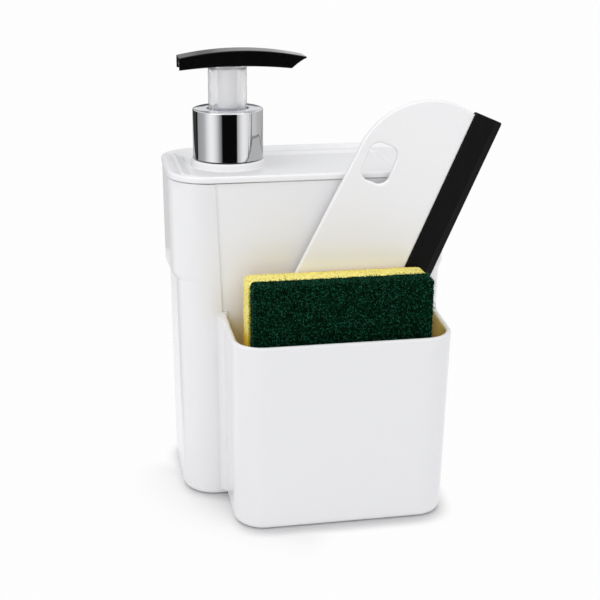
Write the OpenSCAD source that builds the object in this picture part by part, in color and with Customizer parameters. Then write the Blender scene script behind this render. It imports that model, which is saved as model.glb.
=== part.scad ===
// Soap pump caddy: a moulded shell with a drop-in soap tank behind and an open pocket in front,
// a lid with a lotion pump, a sponge and a small squeegee. Millimetres, +Z up.
// The origin is on the table, under the middle of the tank compartment; the pocket faces -Y.

/* [Shell] */
// Width of the upper band under the lid
band_w = 116.6; // [110:0.1:122]
// Depth of the tank compartment at the top
body_d = 60.6; // [56:0.1:64]
// Height of the shell's top edge
body_h = 137; // [132:0.5:142]
// How far the upper band stands out on each side
band_step = 2.05; // [1.2:0.05:2.6]
// Height of the underside of the upper band, halfway along the sides
band_z = 92; // [88:0.5:96]
// Wall thickness of the mouldings
wall = 2.2; // [1.8:0.1:2.4]
// Corner radius of the band in plan
band_r = 16.5; // [14:0.5:18]
// Corner radius of the lower body in plan
lower_r = 14; // [12:0.5:16]
// Draft of every upright wall, per 100 mm of height
draft = 0.84; // [0.4:0.02:1.1]

/* [Pocket] */
// Left outer face of the pocket at the rim
pocket_x0 = -38.1; // [-40:0.1:-36]
// Right outer face of the pocket at the rim
pocket_x1 = 51.2; // [48:0.1:52]
// Front outer face of the pocket at the rim
pocket_y = -61.7; // [-66:0.1:-60]
// Height of the pocket's rim
pocket_h = 79.4; // [74:0.1:82]
// Corner radius of the pocket in plan
pocket_r = 12.4; // [9:0.1:13]
// How far the right side wall spreads from the front corner to the shell
pocket_flare = 2.1; // [0:0.1:2.4]

/* [Lid and pump] */
// Height of the lid's edge
lid_h = 3; // [2.6:0.1:3.4]
// Distance of the pump's axis left of the middle
pump_x = -31.8; // [-33:0.1:-30]
// Outer radius of the bright collar
collar_r = 14.5; // [14:0.1:15]
// Height of the bright collar
collar_h = 20.5; // [19:0.1:22]
// Travel of the pump head
stroke = 14; // [10:0.5:14]
// Outer radius of the clear skirt under the head
skirt_r = 7.9; // [7.5:0.1:8]

/* [Sponge and squeegee] */
// Width of the sponge
sponge_w = 74; // [70:1:74]
// Height of the sponge as it stands
sponge_h = 99; // [90:1:110]
// Thickness of the foam
foam_t = 12; // [11:0.5:15]
// Thickness of the scouring pad
pad_t = 8; // [5:0.5:9]
// Lean of the squeegee to the right, in degrees
squeegee_lean = 23; // [20:0.5:24]
// Length of the squeegee's blade
blade_l = 169.5; // [150:0.5:172]
// Width of the squeegee's blade
blade_w = 12.1; // [11:0.1:13]
// Thickness of the squeegee's plate
plate_t = 2.6; // [2:0.1:2.8]

/* [Hidden] */

eps = 0.01;
arc_n = 10;
shell_white = [0.93, 0.93, 0.92];
tank_white = [0.9, 0.9, 0.89];
clear_grey = [0.8, 0.84, 0.88];

// Shell
lower_w = band_w - 2 * band_step;
floor_t = 3;
base_round = 2.4;
band_blend = 4.9;
band_slope = 0.177;
blend_slope = 0.093;
sill_z = pocket_h;
window_top = 41.1;
window_foot = 38.8;
window_low_z = 52;
window_low = 35.5;
pocket_floor = 2.4;
rim_round = 0.8;
rim_fillet = 4.5;
root_fillet = 5;
root_rise = 1.4;
root_sink = 0.5;
pocket_back = -22;
rim_sink = 0.9;

// Tank
tank_gap = 0.35;
tank_wall = 1.7;
tank_foot = floor_t + 0.4;
shoulder_z = band_z + 5.1;
panel_set_back = 0.4;
panel_foot_set_back = 0.9;

// Lid
lid_over = 0.35;
lid_z = body_h + 0.1;
lid_top = body_h + lid_h;
shoulder_drop = 1.5;
bead_in = 5;
bead_front_in = 1.1;
bead_w = 1.3;
bead_h = 0.45;
lid_floor = lid_top - 1.55;
lid_floor_x = 49.3;
lid_floor_y0 = -28;
lid_floor_y1 = 25.8;
recess_floor = lid_z + 0.2;
recess_x0 = -48.9;
recess_x1 = 37;
recess_y0 = -14;
recess_y1 = 23;
recess_step_x = -17;
recess_step_y = 3;
lid_plate_t = 1.7;
skirt_depth = 6;

// Pump, heights from the table
neck_ring_r = 15.2;
collar_z = lid_top + 1.6;
collar_top = collar_z + collar_h;
neck_r = 12;
neck_bore_r = 10.5;
neck_top = collar_top - 5.4;
gasket_t = 1;
flange_t = 1.5;
cup_r = 8.6;
cup_wall = 1.3;
cup_floor = collar_top - 18.6;
bore_r = 6;
bore_wall = 1.2;
bore_foot = 104.6;
stem_r = 4;
stem_bore_r = 2.6;
piston_h = 8;
stem_top = 178.2;
socket_top = 176.7;
spring_foot = bore_foot + 0.4;
spring_top = cup_floor - piston_h - 2.5;
spring_r = 4.4;
spring_wire = 0.9;
spring_curls = 8;
tube_r = 3;
tube_bore_r = 2.2;
nipple_h = 9;
ball_r = 2.3;
ball_z = bore_foot - 1.45;
tube_end = tank_foot + tank_wall + 2.4;

// Head
head_x0 = -51.9;
head_x1 = -0.2;
head_w = 12.4;
head_top = 185.7;
head_end_top = 182.2;
head_low = 179.4;
head_end_low = 178.2;
undercut = 6;
arm_w = 6;
arm_z0 = 178.9;
arm_z1 = 181.4;
skirt_bore_r = 5.95;
skirt_foot = collar_top - 1.6;

// Sponge
sponge_x = 5.7;
foam_back = -36.2;
sponge_foot = pocket_floor + 0.05;
sponge_round = 2.5;
pad_round = 1.5;
pad_inset = 1.15;
pad_over = 0.8;

// Squeegee
squeegee_y = -33.9;
squeegee_foot = [7.3, pocket_floor + 0.1];
plate_arc_r = 30.8;
plate_arc_x = -19.6;
plate_arc_z = 138.6;
plate_low_r = 38;
plate_low_x = -18.6;
plate_low_z = 42;
plate_foot = 8;
hole_w = 11.6;
hole_h = 15;
hole_tilt = 8;
hole_r = 4;
hole_x = -39.7;
hole_z = 137;
blade_t = 4;
lip_t = 1;
tongue_w = 3;
tongue_t = 1.2;

// Corner points of a rounded rectangle from x0 to x1 and y0 to y1
function rounded(x0, x1, y0, y1, r) = [
  for (c = [[x1 - r, y1 - r, 0], [x0 + r, y1 - r, 90], [x0 + r, y0 + r, 180], [x1 - r, y0 + r, 270]])
    for (i = [0:arc_n]) [c[0] + r * cos(c[2] + 90 * i / arc_n), c[1] + r * sin(c[2] + 90 * i / arc_n)]
];

// How far a wall stands in at height z because of the draft
function lean_in(z) = draft * (body_h - z) / 100;

// Plan of the rear body at height z, drawn in by inset, for a full width w and corner radius r
function body_plan(z, w, r, inset) =
  let (s = inset + lean_in(z))
  rounded(-w / 2 + s, w / 2 - s, -body_d / 2 + s, body_d / 2 - s, max(r - inset, 1));

// Plan of the pocket at height z: round in front, its right side spread towards the shell
function pocket_plan(z, inset) =
  let (s = inset + draft * (pocket_h - z) / 100, r = max(pocket_r - inset, 1),
       x0 = pocket_x0 + s, x1 = pocket_x1 - s, y0 = pocket_y + s)
  concat(
    [[x1 + pocket_flare, pocket_back], [x0, pocket_back]],
    [for (i = [0:arc_n]) [x0 + r - r * cos(90 * i / arc_n), y0 + r - r * sin(90 * i / arc_n)]],
    [for (i = [0:arc_n]) [x1 - r + r * sin(90 * i / arc_n), y0 + r - r * cos(90 * i / arc_n)]]
  );

// Solid through a list of [height, outline] levels
module loft(levels) {
  last = len(levels) - 1;
  hull()
    for (i = [0:last])
      translate([0, 0, levels[i][0] - (i == last ? eps : 0)]) linear_extrude(eps) polygon(levels[i][1]);
}

// Rear body outside, rounded under its foot
module body_outside() {
  foot = base_round;
  loft([
    for (a = [0:22.5:90])
      [foot * (1 - sin(a)), body_plan(0, lower_w, lower_r, foot * (1 - cos(a)))],
    [body_h, body_plan(body_h, lower_w, lower_r, 0)]
  ]);
}

// Band under the lid: it stands out at the sides only, and its eased lower edge rises to the front
module band_outside() {
  hull() {
    for (h = [0:0.25:1])
      let (slope = band_slope + (blend_slope - band_slope) * h, out = 1 - pow(1 - h, 1.5))
      multmatrix([[1, 0, 0, 0], [0, 1, 0, 0], [0, -slope, 1, band_z + band_blend * h], [0, 0, 0, 1]])
        linear_extrude(eps) polygon(body_plan(band_z, lower_w + 2 * band_step * out, band_r, 0));
    translate([0, 0, body_h - eps]) linear_extrude(eps) polygon(body_plan(body_h, band_w, band_r, 0));
  }
}

module compartment() {
  loft([
    [floor_t, body_plan(floor_t, lower_w, lower_r, wall + 2)],
    [floor_t + 0.6, body_plan(floor_t, lower_w, lower_r, wall + 0.6)],
    [floor_t + 2, body_plan(floor_t, lower_w, lower_r, wall)],
    [body_h + 1, body_plan(body_h, lower_w, lower_r, wall)]
  ]);
  loft([
    [shoulder_z, body_plan(shoulder_z, band_w, band_r, wall)],
    [body_h + 1, body_plan(body_h, band_w, band_r, wall)]
  ]);
}

module pocket_outside() {
  foot = base_round;
  loft([
    for (a = [0:22.5:90])
      [foot * (1 - sin(a)), pocket_plan(0, foot * (1 - cos(a)))],
    [pocket_h - rim_round, pocket_plan(pocket_h, 0)],
    [pocket_h - rim_round * 0.3, pocket_plan(pocket_h, rim_round * 0.3)],
    [pocket_h, pocket_plan(pocket_h, rim_round)]
  ]);
}

module pocket_inside() {
  loft([
    [pocket_floor, pocket_plan(0, wall + 2)],
    [pocket_floor + 0.7, pocket_plan(0, wall + 0.7)],
    [pocket_floor + 3, pocket_plan(0, wall)],
    [pocket_h - 0.6, pocket_plan(pocket_h, wall)],
    [pocket_h + eps, pocket_plan(pocket_h, wall - 0.6)]
  ]);
}

// Outline of the window in the shell's front, grown by g; its narrow foot is inside the pocket
module window_outline(g) {
  polygon([
    [-window_low - g, window_low_z - g], [window_low + g, window_low_z - g],
    [window_low + g, sill_z - g], [window_foot + g, sill_z - g],
    [window_top + g, body_h + 1], [-window_top - g, body_h + 1],
    [-window_foot - g, sill_z - g], [-window_low - g, sill_z - g]
  ]);
}

// Upright plate cut from an outline drawn in X and Z, from y0 back to y1
module upright(y0, y1) {
  translate([0, y1, 0]) rotate([90, 0, 0]) linear_extrude(y1 - y0) children();
}

// Concave corner of radius r between two walls that meet at the origin
module corner_fill(r) {
  difference() {
    translate([-eps, -eps]) square(r + eps);
    translate([r, r]) circle(r, $fn = 32);
  }
}

// Front of the shell's lower body at x, which curves back round its corners
function front_y(x) =
  let (past = max(abs(x) - (lower_w / 2 - lower_r), 0))
  -body_d / 2 + lower_r - sqrt(pow(lower_r, 2) - pow(past, 2));

// Rim of the right side wall where it sweeps up into the front of the shell
module rim_sweep(x) {
  translate([x, front_y(x) + rim_sink, pocket_h - 0.2]) rotate([90, 0, -90])
    linear_extrude(wall, center = true) corner_fill(rim_fillet + rim_sink);
}

// Root of the left side wall: it spreads and rises as it runs into the front of the shell
module root_bar(a, z) {
  spread = root_fillet * (1 - cos(a));
  translate([
    pocket_x0 + draft * (pocket_h - z) / 100 - spread,
    front_y(pocket_x0) + lean_in(z) + root_sink - root_fillet * (1 - sin(a)), z
  ]) cube([wall - 0.1 + spread, 0.3, 0.1]);
}
module wall_root() {
  step = 15;
  for (a = [0:step:60])
    hull()
      for (b = [a, a + step]) {
        root_bar(b, base_round + 0.5);
        root_bar(b, pocket_h - 0.4 + root_rise * root_fillet * (1 - cos(b)));
      }
}

module caddy_body() {
  x1 = pocket_x1 + pocket_flare * 0.9;
  color(shell_white) difference() {
    union() {
      body_outside();
      band_outside();
      difference() {
        pocket_outside();
        pocket_inside();
      }
      wall_root();
      rim_sweep(x1 - wall / 2);
    }
    compartment();
    upright(-body_d / 2 - 0.1, -body_d / 2 + wall + 2) window_outline(0);
  }
}

module tank_outside() {
  g = wall + tank_gap;
  loft([
    [tank_foot, body_plan(tank_foot, lower_w, lower_r, g + 2)],
    [tank_foot + 0.6, body_plan(tank_foot, lower_w, lower_r, g + 0.6)],
    [tank_foot + 2, body_plan(tank_foot, lower_w, lower_r, g)],
    [body_h, body_plan(body_h, lower_w, lower_r, g)]
  ]);
  loft([
    [shoulder_z, body_plan(shoulder_z, band_w, band_r, g)],
    [body_h, body_plan(body_h, band_w, band_r, g)]
  ]);
}

// Raised front of the tank that fills the shell's window
module tank_panel() {
  top_y = -body_d / 2 + panel_set_back;
  sill_y = -body_d / 2 + lean_in(sill_z) + panel_foot_set_back;
  foot_y = -body_d / 2 + lean_in(window_low_z) + panel_foot_set_back;
  back_y = -body_d / 2 + wall + 2;
  intersection() {
    upright(-body_d / 2, back_y) window_outline(-0.4);
    rotate([90, 0, 90]) linear_extrude(band_w, center = true)
      polygon([
        [top_y, body_h], [sill_y, sill_z], [foot_y, window_low_z], [back_y, window_low_z], [back_y, body_h]
      ]);
  }
}

module reservoir_tank() {
  g = wall + tank_gap + tank_wall;
  color(tank_white) difference() {
    union() {
      tank_outside();
      tank_panel();
    }
    loft([
      [tank_foot + tank_wall, body_plan(tank_foot, lower_w, lower_r, g + 1.5)],
      [tank_foot + tank_wall + 1.5, body_plan(tank_foot, lower_w, lower_r, g)],
      [body_h + 1, body_plan(body_h, lower_w, lower_r, g)]
    ]);
  }
}

// Plan of the lid's raised part inside its sloped shoulder, drawn in by inset
function bead_plan(inset) =
  rounded(-band_w / 2 + bead_in + inset, band_w / 2 - bead_in - inset,
          -body_d / 2 + bead_front_in + inset, body_d / 2 - bead_in + 1.4 - inset, band_r - bead_in - inset);

function lid_plan(inset) = body_plan(body_h, band_w, band_r, inset - lid_over);

module lid_outside() {
  loft([
    [lid_z, lid_plan(0)],
    [lid_top - shoulder_drop, lid_plan(0)],
    [lid_top - shoulder_drop * 0.45, lid_plan(0.7)],
    [lid_top - bead_h, bead_plan(-0.4)]
  ]);
}

// Lowered middle of the lid inside its raised edge
module lid_middle() {
  rise = lid_top - lid_floor;
  loft([
    [lid_floor, rounded(-lid_floor_x, lid_floor_x, lid_floor_y0, lid_floor_y1, 9)],
    [lid_top, rounded(-lid_floor_x - rise, lid_floor_x + rise, lid_floor_y0 - 0.3, lid_floor_y1 + rise, 10)]
  ]);
}

// Shallow tray in the lowered middle, with a sloped back wall; it passes behind the pump
module lid_recess() {
  for (low = [[recess_step_x, recess_y0], [recess_x0, recess_step_y]])
    loft([
      [recess_floor, rounded(low[0], recess_x1 - 1, low[1], recess_y1 - 2.5, 5)],
      [lid_top, rounded(low[0], recess_x1, low[1], recess_y1, 5)]
    ]);
}

module lid() {
  hanging = recess_floor - lid_plate_t;
  skirt_in = wall + tank_gap + tank_wall + 0.3;
  color(shell_white) difference() {
    union() {
      difference() {
        union() {
          lid_outside();
          translate([0, 0, lid_top - 1]) linear_extrude(1) difference() {
            polygon(bead_plan(0));
            polygon(bead_plan(bead_w));
          }
        }
        lid_middle();
        lid_recess();
      }
      translate([0, 0, hanging]) linear_extrude(lid_plate_t)
        polygon(body_plan(body_h, lower_w, lower_r, skirt_in));
      translate([0, 0, body_h - skirt_depth]) linear_extrude(skirt_depth + 0.2) difference() {
        polygon(body_plan(body_h, lower_w, lower_r, skirt_in));
        polygon(body_plan(body_h, lower_w, lower_r, skirt_in + 1.6));
      }
      translate([pump_x, 0, hanging]) cylinder(collar_z - 0.2 - hanging, neck_ring_r, neck_ring_r, $fn = 72);
      translate([pump_x, 0, hanging]) cylinder(neck_top - hanging, neck_r, neck_r, $fn = 72);
    }
    translate([pump_x, 0, hanging - 1]) cylinder(neck_top - hanging + 2, neck_bore_r, neck_bore_r, $fn = 72);
  }
}

module neck_gasket() {
  color([0.95, 0.95, 0.95]) translate([pump_x, 0, neck_top]) difference() {
    cylinder(gasket_t, neck_r - 0.2, neck_r - 0.2, $fn = 64);
    translate([0, 0, -1]) cylinder(gasket_t + 2, neck_bore_r, neck_bore_r, $fn = 64);
  }
}

// Revolved body of the pump from a list of [radius, height] points
module turned(points, sides) {
  translate([pump_x, 0, 0]) rotate_extrude($fn = sides) polygon(points);
}

module threaded_closure() {
  top = neck_top + gasket_t + flange_t;
  color("white") turned([
    [12.35, collar_z + 0.6], [13.6, collar_z + 0.6], [13.6, top + 1.5],
    [8.8, top + 1.5], [8.8, top], [12.35, top]
  ], 64);
}

module collar_shell() {
  color("silver") turned([
    [13.7, collar_z], [14.1, collar_z], [collar_r, collar_z + 0.4], [collar_r, collar_top - 0.9],
    [collar_r - 0.9, collar_top], [8.9, collar_top], [8.6, collar_top - 0.3], [8.6, collar_top - 1.2],
    [13.7, collar_top - 1.2]
  ], 96);
}

module pump_housing() {
  top = neck_top + gasket_t + flange_t;
  throat = bore_foot - 1;
  nipple = throat - nipple_h;
  color("white") turned([
    [cup_r, cup_floor], [cup_r, top], [neck_r - 0.2, top], [neck_r - 0.2, top - flange_t],
    [cup_r + cup_wall, top - flange_t], [cup_r + cup_wall, cup_floor - 1.2],
    [bore_r + bore_wall, cup_floor - 2.4], [bore_r + bore_wall, bore_foot],
    [tube_r + 1.1, bore_foot - 3], [tube_r + 1.1, nipple], [tube_r, nipple],
    [tube_r, throat - 3.5], [1.5, throat - 3.5], [1.5, throat - 2.5], [2.6, throat - 0.6],
    [2.6, bore_foot + 0.4], [bore_r, bore_foot + 0.4], [bore_r, cup_floor]
  ], 64);
}

module chaplet() {
  color(clear_grey) turned([
    [stem_r + 0.1, cup_floor], [cup_r - 0.1, cup_floor], [cup_r - 0.1, cup_floor + 1.5],
    [5.5, cup_floor + 1.5], [5.5, collar_top], [5.1, collar_top + 0.4], [stem_r + 0.1, collar_top + 0.4]
  ], 64);
}

module inlet_ball() {
  color("silver") translate([pump_x, 0, ball_z]) sphere(ball_r, $fn = 32);
}

module dip_tube() {
  top = bore_foot - 1 - 3.5;
  color(clear_grey) translate([pump_x, 0, 0]) difference() {
    translate([0, 0, tube_end]) cylinder(top - tube_end, tube_r, tube_r, $fn = 32);
    translate([0, 0, tube_end - 1]) cylinder(top - tube_end + 2, tube_bore_r, tube_bore_r, $fn = 32);
    translate([0, 0, tube_end]) rotate([0, 30, 0]) translate([-10, -10, -10]) cube([20, 20, 10]);
  }
}

module stem() {
  foot = cup_floor - piston_h;
  color("white") turned([
    [stem_bore_r, foot], [stem_r, foot], [stem_r, stem_top], [stem_bore_r, stem_top]
  ], 48);
}

module piston() {
  foot = cup_floor - piston_h;
  color([0.85, 0.87, 0.9]) turned([
    [stem_r, foot], [bore_r - 0.5, foot], [bore_r - 0.05, foot + 0.6], [bore_r - 0.05, foot + 1.4],
    [bore_r - 0.8, foot + 2.2], [bore_r - 0.8, foot + 5.8], [bore_r - 0.05, foot + 6.6],
    [bore_r - 0.05, foot + 7.4], [bore_r - 0.4, foot + 8], [stem_r, foot + 8]
  ], 48);
}

module piston_plug() {
  foot = cup_floor - piston_h;
  color("white") turned([
    [0, foot - 2.5], [5, foot - 2.5], [5, foot - 1.2], [3.6, foot - 0.8], [3.6, foot],
    [stem_bore_r - 0.05, foot], [stem_bore_r - 0.05, foot + 7], [1.8, foot + 8], [0, foot + 8]
  ], 48);
}

// Centre of the spring's wire at turn t; the ends are closed flat
function spring_pitch(t) =
  let (run = spring_curls - 1, rise = spring_top - spring_foot - spring_wire)
  spring_foot + spring_wire / 2 + rise * min(max((t - 0.5) / run, 0), 1);
function spring_point(t) = [spring_r * cos(360 * t), spring_r * sin(360 * t), spring_pitch(t)];

module return_spring() {
  per_turn = 8;
  sides = 6;
  rings = spring_curls * per_turn;
  points = [
    for (i = [0:rings], k = [0:sides - 1])
      let (c = spring_point(i / per_turn), a = 360 * i / per_turn, b = 360 * k / sides,
           out = spring_wire / 2 * cos(b))
      [c[0] + out * cos(a), c[1] + out * sin(a), c[2] + spring_wire / 2 * sin(b)]
  ];
  faces = concat(
    [[for (k = [0:sides - 1]) k]],
    [[for (k = [0:sides - 1]) rings * sides + sides - 1 - k]],
    [for (i = [0:rings - 1], k = [0:sides - 1])
      [i * sides + k, (i + 1) * sides + k, (i + 1) * sides + (k + 1) % sides, i * sides + (k + 1) % sides]]
  );
  apart = [
    for (t = [0:1 / per_turn:spring_curls - 1], u = [t + 0.5:1 / per_turn:min(t + 1.5, spring_curls)])
      norm(spring_point(t) - spring_point(u)) - spring_wire
  ];
  echo(str("spring: least gap between its turns ", min(apart), " mm over ", len(apart), " pairs of points"));
  color("gainsboro") translate([pump_x, 0, 0]) polyhedron(points, faces);
}

// Side view of the pressed bar: an arched top, a flatter underside and an undercut tip
function arch(x0, x1, z0, rise, n) = [
  for (i = [0:n]) let (t = i / n) [x0 + (x1 - x0) * t, z0 + 4 * rise * t * (1 - t)]
];
module bar_side() {
  polygon(concat(
    arch(head_x0, head_x1, head_end_top, head_top - head_end_top, 16),
    arch(head_x1 - undercut, head_x0 + 0.6, head_end_low, head_low - head_end_low, 12)
  ));
}

module head_cover() {
  color([0.06, 0.06, 0.07]) difference() {
    intersection() {
      upright(-head_w / 2, head_w / 2) bar_side();
      rotate([90, 0, 90]) translate([0, 0, head_x0]) linear_extrude(head_x1 - head_x0)
        polygon([for (a = [0:15:345]) [
          head_w / 2 * sign(cos(a)) * pow(abs(cos(a)), 0.45),
          (head_top + head_end_low) / 2 + 4.6 * sign(sin(a)) * pow(abs(sin(a)), 0.6)
        ]]);
    }
    translate([head_x0 - 1, -arm_w / 2 - 0.1, arm_z0 - 3])
      cube([head_x1 - 4 - head_x0, arm_w + 0.2, arm_z1 + 0.1 - arm_z0 + 3]);
    translate([pump_x, 0, collar_top])
      cylinder(arm_z0 + 0.6 - collar_top, skirt_r + 0.1, skirt_r + 0.1, $fn = 64);
  }
}

module nozzle_core() {
  tip = head_x1 - 5.2;
  channel_z = (arm_z0 + arm_z1) / 2;
  color(clear_grey) difference() {
    union() {
      turned([
        [0, socket_top], [skirt_bore_r, socket_top], [skirt_bore_r, skirt_foot], [skirt_r, skirt_foot],
        [skirt_r, arm_z0 + 0.5], [0, arm_z0 + 0.5]
      ], 64);
      translate([head_x0 + 0.5, -arm_w / 2, arm_z0]) cube([tip - head_x0 - 0.5, arm_w, arm_z1 - arm_z0]);
    }
    translate([pump_x, 0, socket_top - 1])
      cylinder(stem_top + 1 - socket_top, stem_r + 0.05, stem_r + 0.05, $fn = 48);
    translate([pump_x, 0, stem_top - 1])
      cylinder(channel_z - stem_top + 1, stem_bore_r, stem_bore_r, $fn = 32);
    translate([pump_x, 0, channel_z]) rotate([0, 90, 0]) cylinder(tip - pump_x + 1, 0.9, 0.9, $fn = 24);
  }
}

// Moves a shape drawn upright at the squeegee's lower right corner into its leaning place
module leaning() {
  translate([squeegee_foot[0], squeegee_y, squeegee_foot[1]]) rotate([0, squeegee_lean, 0]) children();
}

// Outline of the squeegee's plate in X and Z, drawn in by inset
function plate_outline(inset) =
  let (top_r = plate_arc_r - inset, low_r = plate_low_r - inset,
       top_a = asin((-blade_w - plate_arc_x) / top_r))
  concat(
    [for (i = [0:16]) let (a = 180 - (90 + top_a) * i / 16)
      [plate_arc_x + top_r * cos(a), plate_arc_z + top_r * sin(a)]],
    [[-blade_w, plate_foot + inset]],
    [for (i = [0:10]) let (a = 262 - 82 * i / 10)
      [plate_low_x + low_r * cos(a), plate_low_z + low_r * sin(a)]]
  );

module squeegee_plate() {
  edge = 0.9;
  color("white") leaning() difference() {
    union() {
      translate([0, plate_t / 2, 0]) rotate([90, 0, 0]) hull() {
        translate([0, 0, edge]) linear_extrude(plate_t - 2 * edge) polygon(plate_outline(0));
        linear_extrude(plate_t) polygon(plate_outline(edge));
      }
      translate([-blade_w - eps, -tongue_t / 2, 12]) cube([tongue_w, tongue_t, blade_l - 18]);
    }
    translate([hole_x, 0, hole_z]) rotate([90, -hole_tilt, 0]) linear_extrude(plate_t + 2, center = true)
      polygon(rounded(-hole_w / 2, hole_w / 2, -hole_h / 2, hole_h / 2, hole_r));
  }
}

module squeegee_blade() {
  h = blade_t / 2;
  t = tongue_t / 2;
  color([0.05, 0.05, 0.05]) leaning() linear_extrude(blade_l) polygon([
    [-blade_w, t], [-blade_w, h - 0.3], [-blade_w + 0.3, h], [-3.2, h], [-2.4, h - 0.7],
    [-0.3, lip_t / 2], [0, lip_t / 2 - 0.2], [0, -lip_t / 2 + 0.2], [-0.3, -lip_t / 2],
    [-2.4, -h + 0.7], [-3.2, -h], [-blade_w + 0.3, -h], [-blade_w, -h + 0.3],
    [-blade_w, -t], [-blade_w + tongue_w, -t], [-blade_w + tongue_w, t]
  ]);
}

// Sponge slab from y0 back to y1, narrower by inset on each side and taller by over
module slab(y0, y1, inset, over, r) {
  upright(y0, y1) polygon(rounded(
    sponge_x - sponge_w / 2 + inset, sponge_x + sponge_w / 2 - inset,
    sponge_foot, sponge_foot + sponge_h + over, r
  ));
}

module sponge_foam() {
  color([0.95, 0.85, 0.15]) slab(foam_back - foam_t, foam_back, 0, 0, sponge_round);
}

module scouring_pad() {
  color([0.05, 0.28, 0.16])
    slab(foam_back - foam_t - pad_t, foam_back - foam_t, pad_inset, pad_over, pad_round);
}

caddy_body();
reservoir_tank();
lid();
neck_gasket();
threaded_closure();
collar_shell();
chaplet();
pump_housing();
inlet_ball();
dip_tube();
stem();
piston();
piston_plug();
return_spring();
nozzle_core();
head_cover();
squeegee_plate();
squeegee_blade();
sponge_foam();
scouring_pad();
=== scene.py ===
import math
import random

import bmesh
import bpy
from mathutils import Matrix, Vector, noise


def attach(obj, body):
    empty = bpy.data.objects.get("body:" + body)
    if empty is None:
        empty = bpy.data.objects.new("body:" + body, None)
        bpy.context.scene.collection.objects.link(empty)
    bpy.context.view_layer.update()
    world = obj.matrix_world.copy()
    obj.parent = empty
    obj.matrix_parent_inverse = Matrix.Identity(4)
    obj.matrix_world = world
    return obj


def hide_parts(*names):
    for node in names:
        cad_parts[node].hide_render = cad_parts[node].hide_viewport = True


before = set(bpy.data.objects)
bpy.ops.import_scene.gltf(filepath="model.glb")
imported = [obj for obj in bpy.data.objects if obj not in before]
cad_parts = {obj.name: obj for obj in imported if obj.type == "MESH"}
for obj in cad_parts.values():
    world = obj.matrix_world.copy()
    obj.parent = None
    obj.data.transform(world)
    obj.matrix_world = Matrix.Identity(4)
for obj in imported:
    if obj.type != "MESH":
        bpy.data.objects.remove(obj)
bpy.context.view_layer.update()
mm = 0.001
print("frame loaded:", len(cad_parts), "nodes")


class Wire:  # a socket that adds its own Math nodes when it is used in a sum
    def __init__(self, tree, socket):
        self.tree = tree
        self.socket = socket

    def maths(self, operation, *values):
        node = self.tree.nodes.new("ShaderNodeMath")
        node.operation = operation
        for slot, value in zip(node.inputs, values):
            if isinstance(value, Wire):
                self.tree.links.new(value.socket, slot)
            else:
                slot.default_value = value
        return Wire(self.tree, node.outputs[0])

    def __add__(self, other): return self.maths("ADD", self, other)
    def __radd__(self, other): return self.maths("ADD", other, self)
    def __sub__(self, other): return self.maths("SUBTRACT", self, other)
    def __rsub__(self, other): return self.maths("SUBTRACT", other, self)
    def __mul__(self, other): return self.maths("MULTIPLY", self, other)
    def __rmul__(self, other): return self.maths("MULTIPLY", other, self)
    def most(self, other): return self.maths("MAXIMUM", self, other)
    def least(self, other): return self.maths("MINIMUM", self, other)


class Nodes:  # one node tree, with a single method that adds any node to it
    def __init__(self, tree):
        self.tree = tree
        tree.nodes.clear()

    def add(self, kind, settings=None, output=0, **sockets):
        node = self.tree.nodes.new("ShaderNode" + kind)
        for name, value in (settings or {}).items():
            if name == "stops":
                ramp = node.color_ramp
                while len(ramp.elements) < len(value):
                    ramp.elements.new(1.0)
                for element, (place, tone) in zip(ramp.elements, value):
                    element.position = place
                    element.color = tone if isinstance(tone, tuple) else (tone, tone, tone, 1)
            else:
                setattr(node, name, value)
        for name, value in sockets.items():
            slot = self.find(node, name)
            if isinstance(value, Wire):
                self.tree.links.new(value.socket, slot)
            else:
                slot.default_value = value
        return Wire(self.tree, node.outputs[output]) if len(node.outputs) else None

    def find(self, node, name):
        if name.startswith("slot"):
            return node.inputs[int(name[4:])]
        return node.inputs[name.replace("_", " ")]

    def ramp(self, value, *stops):
        return self.add("ValToRGB", {"stops": stops}, Fac=value)

    def smoothStep(self, value, low, high, **more):  # eases from 0 at low to 1 at high
        settings = {"interpolation_type": "SMOOTHSTEP"}
        return self.add("MapRange", settings, Value=value, slot1=low, slot2=high, **more)

    def openness(self, samples, reach, **more):  # 1 in the open, less beside other surfaces
        return self.add("AmbientOcclusion", {"samples": samples}, output="AO", Distance=reach, **more)

    def components(self, vector):
        node = self.add("SeparateXYZ", Vector=vector).socket.node
        return [Wire(self.tree, part) for part in node.outputs]

    def rayIs(self, *kinds):  # 1 for a ray of any of these kinds
        node = self.add("LightPath").socket.node
        result, *others = [Wire(self.tree, node.outputs[f"Is {kind} Ray"]) for kind in kinds]
        for other in others:
            result = result.most(other)
        return result


class Finish(Nodes):  # a material with one Principled surface
    def __init__(self, name, **fixed):
        self.material = bpy.data.materials.new(name)
        self.material.use_nodes = True
        super().__init__(self.material.node_tree)
        surface = self.add("BsdfPrincipled", **fixed)
        self.surface = surface.socket.node
        self.add("OutputMaterial", Surface=surface)
        self.place = self.add("TexCoord", output="Object")

    def feed(self, **sockets):
        for name, value in sockets.items():
            self.tree.links.new(value.socket, self.find(self.surface, name))

    def speckle(self, scale, detail=3.0, roughness=0.5, squash=(1, 1, 1)):
        at = self.add("Mapping", Vector=self.place, Scale=squash)
        return self.add("TexNoise", Vector=at, Scale=scale, Detail=detail, Roughness=roughness)

    def blendOf(self, amount, first, second):
        settings = {"data_type": "RGBA"}
        return self.add("Mix", settings, output=2, slot0=amount, slot6=first, slot7=second)

    def relief(self, height, depth, strength):
        return self.add("Bump", Height=height, Distance=depth, Strength=strength)

    def pits(self, scale):
        return self.add("TexVoronoi", Vector=self.place, Scale=scale, Randomness=1.0)

    def nook(self, start, stop):  # 0 at the first share of openness, 1 at the second; the mask for painted shade and painted bounce light in closed-in places
        samples, reach = 12, 0.014
        return self.smoothStep(self.openness(samples, reach), start, stop)


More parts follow.
